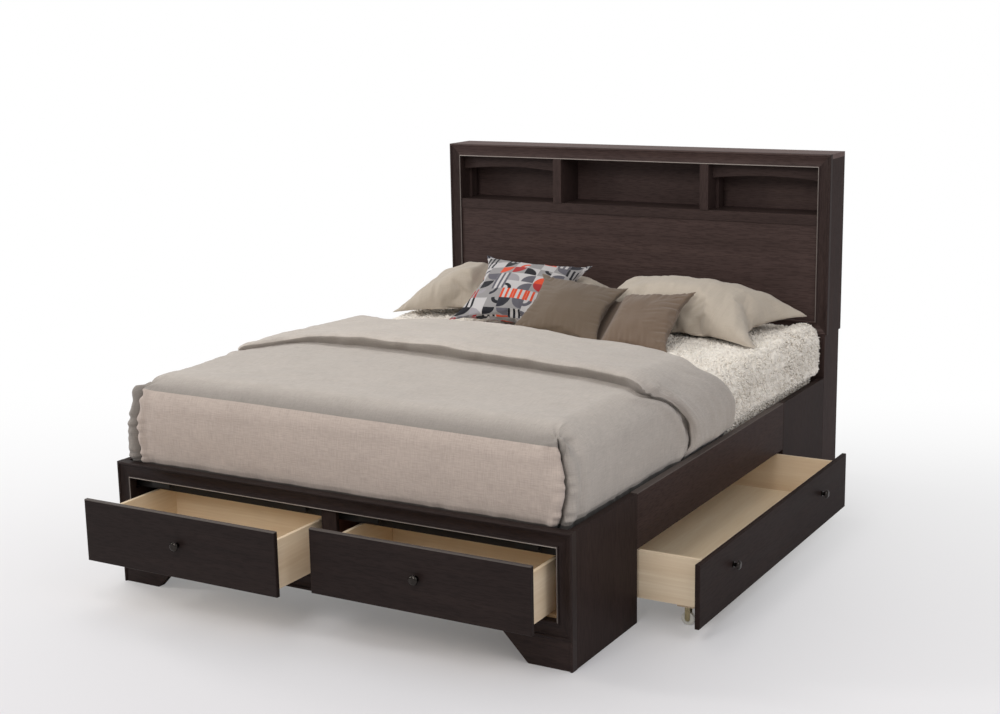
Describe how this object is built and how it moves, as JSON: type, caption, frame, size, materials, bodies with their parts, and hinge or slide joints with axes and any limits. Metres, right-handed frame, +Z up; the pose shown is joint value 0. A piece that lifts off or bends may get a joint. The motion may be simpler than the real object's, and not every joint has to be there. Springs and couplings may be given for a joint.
{
  "type": "storage bed",
  "caption": "Queen storage bed in dark brown wood with a bookcase headboard, drawers in the foot and long caster drawers under the sides, dressed with bedding.",
  "frame": {"origin": "on the floor under the middle of the centre leg, halfway along and halfway across the bed", "axes": "+X to the right across the bed when seen from the foot, +Y from the foot to the headboard, +Z up"},
  "size_m": [1.9396, 2.5037, 1.257],
  "materials": {
    "dark_wood": "satin dark espresso stain",
    "red_brown_board": "stained board",
    "raw_wood": "raw",
    "black_wood": "painted black",
    "pale_pine": "clear lacquer",
    "zinc_steel": "zinc plated",
    "dark_bronze": "oiled bronze",
    "brass_plated_steel": "dull brass plating",
    "pale_plastic": "moulded nylon",
    "mattress_ticking": "woven ticking",
    "ivory_shag": "deep soft pile",
    "greige_cloth": "matt cotton",
    "cream_cloth": "matt cotton",
    "printed_cloth": "printed linen",
    "light_taupe_cloth": "matt cotton",
    "dark_taupe_cloth": "matt cotton"
  },
  "bodies": {
    "bed": {"footboard_moulding_rails": "dark_wood", "footboard_moulding_stiles": "dark_wood", "footboard_mullion": "dark_wood", "footboard_feet": "dark_wood", "foot_returns": "dark_wood", "head_returns": "dark_wood", "side_rail_right": "dark_wood", "side_rail_left": "dark_wood", "cabinet_partition": "red_brown_board", "cabinet_back": "raw_wood", "drawer_runners": "raw_wood", "drawer_stops": "black_wood", "slat_ledgers": "raw_wood", "slats": "raw_wood", "centre_beam": "raw_wood", "centre_legs": "dark_wood", "rail_brackets": "zinc_steel", "headboard_legs": "dark_wood", "headboard_base_panel": "dark_wood", "headboard_moulding_rails": "dark_wood", "headboard_moulding_stiles": "dark_wood", "headboard_top": "dark_wood", "headboard_sides": "dark_wood", "headboard_shelves": "dark_wood", "headboard_back": "dark_wood", "bookcase_rail": "dark_wood", "headboard_panel": "dark_wood", "bookcase_dividers": "dark_wood", "bookcase_valances": "dark_wood", "bookcase_cleats": "dark_wood", "mattress": "mattress_ticking", "mattress_cover": "ivory_shag", "duvet": "greige_cloth", "cushion_light": "light_taupe_cloth", "cushion_dark": "dark_taupe_cloth", "cushion_patterned": "printed_cloth", "sleeping_pillow_left": "cream_cloth", "sleeping_pillow_right": "cream_cloth"},
    "foot_drawer_left": {"foot_drawer_left_front": "dark_wood", "foot_drawer_left_box": "pale_pine", "foot_drawer_left_bottom": "pale_pine", "foot_drawer_left_knob": "dark_bronze"},
    "foot_drawer_right": {"foot_drawer_right_front": "dark_wood", "foot_drawer_right_box": "pale_pine", "foot_drawer_right_bottom": "pale_pine", "foot_drawer_right_knob": "dark_bronze"},
    "side_drawer_right": {"side_drawer_right_front": "dark_wood", "side_drawer_right_box": "pale_pine", "side_drawer_right_bottom": "pale_pine", "side_drawer_right_knobs": "dark_bronze", "side_drawer_right_caster_forks": "brass_plated_steel"},
    "side_drawer_right_wheels_outer": {"side_drawer_right_wheels_outer": "pale_plastic"},
    "side_drawer_right_wheels_inner": {"side_drawer_right_wheels_inner": "pale_plastic"},
    "side_drawer_left": {"side_drawer_left_front": "dark_wood", "side_drawer_left_box": "pale_pine", "side_drawer_left_bottom": "pale_pine", "side_drawer_left_knobs": "dark_bronze", "side_drawer_left_caster_forks": "brass_plated_steel"},
    "side_drawer_left_wheels_outer": {"side_drawer_left_wheels_outer": "pale_plastic"},
    "side_drawer_left_wheels_inner": {"side_drawer_left_wheels_inner": "pale_plastic"}
  },
  "joints": [
    {"name": "foot_drawer_left_slide", "type": "slide", "parent": "bed", "child": "foot_drawer_left", "axis": [0, -1, 0], "range_m": [-0.2254, 0.0946]},
    {"name": "foot_drawer_right_slide", "type": "slide", "parent": "bed", "child": "foot_drawer_right", "axis": [0, -1, 0], "range_m": [-0.1463, 0.1737]},
    {"name": "side_drawer_right_slide", "type": "slide", "parent": "bed", "child": "side_drawer_right", "axis": [1, 0, 0], "range_m": [-0.2096, 0.3404]},
    {"name": "side_drawer_left_slide", "type": "slide", "parent": "bed", "child": "side_drawer_left", "axis": [-1, 0, 0], "range_m": [0, 0.55]},
    {"name": "side_drawer_right_wheels_outer_roll", "type": "hinge", "parent": "side_drawer_right", "child": "side_drawer_right_wheels_outer", "pos_m": [0.9656, -0.1028, 0.02], "axis": [0, 1, 0], "range_deg": [-611, 986]},
    {"name": "side_drawer_right_wheels_inner_roll", "type": "hinge", "parent": "side_drawer_right", "child": "side_drawer_right_wheels_inner", "pos_m": [0.5056, -0.1028, 0.02], "axis": [0, 1, 0], "range_deg": [-611, 986]},
    {"name": "side_drawer_left_wheels_outer_roll", "type": "hinge", "parent": "side_drawer_left", "child": "side_drawer_left_wheels_outer", "pos_m": [-0.756, -0.1028, 0.02], "axis": [0, -1, 0], "range_deg": [-10, 1586]},
    {"name": "side_drawer_left_wheels_inner_roll", "type": "hinge", "parent": "side_drawer_left", "child": "side_drawer_left_wheels_inner", "pos_m": [-0.296, -0.1028, 0.02], "axis": [0, -1, 0], "range_deg": [-10, 1586]}
  ],
  "couplings": [
    {"joint": "side_drawer_right_wheels_outer_roll", "follows": "side_drawer_right_slide", "rad_per_m": 50},
    {"joint": "side_drawer_right_wheels_inner_roll", "follows": "side_drawer_right_slide", "rad_per_m": 50},
    {"joint": "side_drawer_left_wheels_outer_roll", "follows": "side_drawer_left_slide", "rad_per_m": 50},
    {"joint": "side_drawer_left_wheels_inner_roll", "follows": "side_drawer_left_slide", "rad_per_m": 50}
  ]
}
